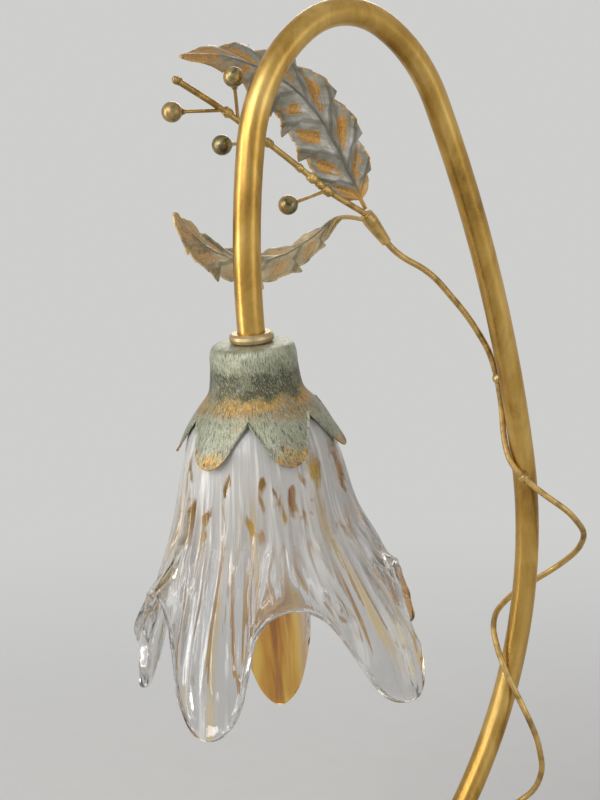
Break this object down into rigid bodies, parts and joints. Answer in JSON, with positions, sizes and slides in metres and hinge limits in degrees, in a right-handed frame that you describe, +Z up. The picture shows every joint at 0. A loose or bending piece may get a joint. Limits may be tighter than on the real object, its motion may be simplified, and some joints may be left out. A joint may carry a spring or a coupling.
{
  "type": "table lamp",
  "caption": "Table lamp with a round weighted base, a bent arched tube stem, a hanging glass flower shade under a metal calyx, and a wire tendril with leaves and berries.",
  "frame": {"origin": "on the table, under the middle of the round base", "axes": "+Z up along the lamp's height; the stem lies in the XZ plane, the flower hangs on the -X side and the stem bulges to +X; +Y is behind the stem, where the leaves are"},
  "size_m": [0.2913, 0.1746, 0.5861],
  "materials": {
    "antique_brass": "satin antique gold, fine brushed grain",
    "beige_brass": "satin beige gold",
    "green_patina": "sage green patina, scratch brushed, gold tips",
    "leaf_patina": "blue-grey patina with copper and gold veins",
    "dull_gold": "satin dull gold",
    "olive_berry": "dark olive gold, polished",
    "clear_glass": "clear blown glass, milky at the top, amber spots and streaks",
    "opal_glass": "opal white",
    "nickel_cap": "nickel plated",
    "black_plastic": "semi-gloss moulded",
    "porcelain": "glazed porcelain",
    "zinc_steel": "zinc plated",
    "bare_brass": "bright brass",
    "cast_iron": "rough cast",
    "felt": "pressed felt",
    "fibre": "vulcanised fibre",
    "cable_sheath": "smooth sheath",
    "bulb_core": "moulded"
  },
  "bodies": {
    "lamp": {"stem_tube": "antique_brass", "base_cover": "antique_brass", "base_collar": "antique_brass", "neck_ring": "beige_brass", "calyx": "green_patina", "upper_leaf": "leaf_patina", "lower_leaf": "leaf_patina", "tendril": "dull_gold", "leaf_sheath": "dull_gold", "braze_beads": "dull_gold", "berry_twig": "dull_gold", "berry_stalks": "dull_gold", "berries": "olive_berry", "glass_shade": "clear_glass", "holder_cap": "black_plastic", "holder_skirt": "black_plastic", "inlet_bush": "black_plastic", "holder_insert": "porcelain", "terminal_block": "porcelain", "foot_rod": "zinc_steel", "foot_washer": "zinc_steel", "foot_nut": "zinc_steel", "head_rod": "zinc_steel", "calyx_nut": "zinc_steel", "earth_screw": "zinc_steel", "terminal_screws": "zinc_steel", "block_screw": "zinc_steel", "thread_shell": "bare_brass", "centre_contact": "bare_brass", "base_weight": "cast_iron", "base_felt": "felt", "shade_washer": "fibre", "inner_cable": "cable_sheath"},
    "bulb": {"bulb_contact": "bare_brass", "bulb_insulator": "porcelain", "bulb_cap": "nickel_cap", "bulb_envelope": "opal_glass", "bulb_core": "bulb_core"},
    "shade_ring": {"shade_ring": "black_plastic"}
  },
  "joints": [
    {"name": "bulb_draw", "type": "slide", "parent": "lamp", "child": "bulb", "axis": [0.0958, 0, -0.9954], "range_m": [0, 0.19]},
    {"name": "ring_turn", "type": "hinge", "parent": "lamp", "child": "shade_ring", "pos_m": [-0.10918, 0, 0.37968], "axis": [0.0958, 0, -0.9954], "range_deg": [0, 360]}
  ]
}
